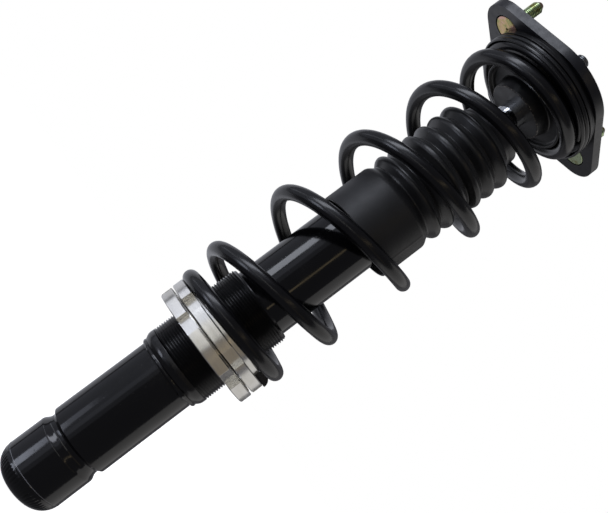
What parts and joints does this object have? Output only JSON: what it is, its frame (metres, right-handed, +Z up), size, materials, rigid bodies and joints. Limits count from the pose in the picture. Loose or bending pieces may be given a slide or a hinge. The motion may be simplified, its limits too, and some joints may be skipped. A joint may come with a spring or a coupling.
{
  "type": "coilover strut",
  "caption": "Height-adjustable suspension strut: barrel coil spring between threaded collars and an eccentric stud-mounted top plate, with a bellows dust boot.",
  "frame": {"origin": "on the strut axis, at the lower end of the round tube, where the closed end begins to curve", "axes": "+Z up the strut axis towards the top mount; +X to the right with the long side of the top plate away from the viewer; -Y is the near side"},
  "size_m": [0.1512, 0.1482, 0.524],
  "materials": {
    "gloss_black_tube": "high gloss black enamel",
    "black_thread": "semi-gloss black plated thread",
    "machined_aluminium": "bright turned and clear anodised",
    "cast_aluminium": "plain machined",
    "satin_black_spring": "satin black powder coat",
    "satin_black_steel": "satin black coated steel",
    "plain_steel": "bare machined steel",
    "chrome_rod": "hard chrome, ground",
    "rubber_boot": "matt moulded rubber",
    "rubber_seat": "matt moulded rubber",
    "ptfe_bronze": "filled PTFE",
    "foam_polyurethane": "cellular polyurethane",
    "zinc_yellow": "yellow passivated zinc plate"
  },
  "bodies": {
    "strut": {"strut_tube": "gloss_black_tube", "base_cap": "gloss_black_tube", "foot_valve": "plain_steel", "pressure_tube": "plain_steel", "rod_guide": "cast_aluminium", "guide_bush": "ptfe_bronze", "rod_seal": "rubber_seat", "gland_nut": "satin_black_steel", "sleeve_weld": "gloss_black_tube", "threaded_sleeve": "black_thread"},
    "spring_carrier": {"coil_spring": "satin_black_spring", "dust_boot": "rubber_boot"},
    "perch": {"perch_collar": "machined_aluminium"},
    "locknut": {"lock_collar": "machined_aluminium"},
    "damper_rod": {"piston_rod": "chrome_rod", "piston": "plain_steel", "piston_ring": "ptfe_bronze", "piston_nut": "plain_steel", "rebound_stop": "rubber_seat", "bump_stop": "foam_polyurethane", "spring_seat": "satin_black_steel", "seat_isolator": "rubber_seat", "bearing_lower_race": "plain_steel", "bearing_balls": "chrome_rod", "bearing_cage": "ptfe_bronze", "pillow_ball": "chrome_rod", "top_washer": "plain_steel", "top_nut": "zinc_yellow"},
    "top_mount": {"bearing_upper_race": "plain_steel", "bearing_cover": "satin_black_steel", "top_plate": "satin_black_steel", "ball_race": "plain_steel", "retaining_ring": "satin_black_steel", "mount_studs": "zinc_yellow"}
  },
  "joints": [
    {"name": "perch_lift", "type": "slide", "parent": "strut", "child": "spring_carrier", "axis": [0, 0, 1], "range_m": [-0.008, 0.026]},
    {"name": "perch_collar_turn", "type": "hinge", "parent": "spring_carrier", "child": "perch", "pos_m": [0, 0, 0.155], "axis": [0, 0, 1], "range_deg": [-1441, 4681]},
    {"name": "lock_collar_turn", "type": "hinge", "parent": "perch", "child": "locknut", "pos_m": [0, 0, 0.145], "axis": [0, 0, 1], "range_deg": [-180, 0]},
    {"name": "damper_travel", "type": "slide", "parent": "spring_carrier", "child": "damper_rod", "axis": [0, 0, 1], "range_m": [-0.05, 0], "stiffness_N_per_m": 40000, "springref_m": 0.004, "deforming": ["coil_spring", "dust_boot"]},
    {"name": "top_mount_turn", "type": "hinge", "parent": "damper_rod", "child": "top_mount", "pos_m": [0, 0, 0.4705], "axis": [0, 0, 1], "continuous": true}
  ],
  "couplings": [
    {"joint": "perch_collar_turn", "follows": "perch_lift", "rad_per_m": 3141.6}
  ]
}
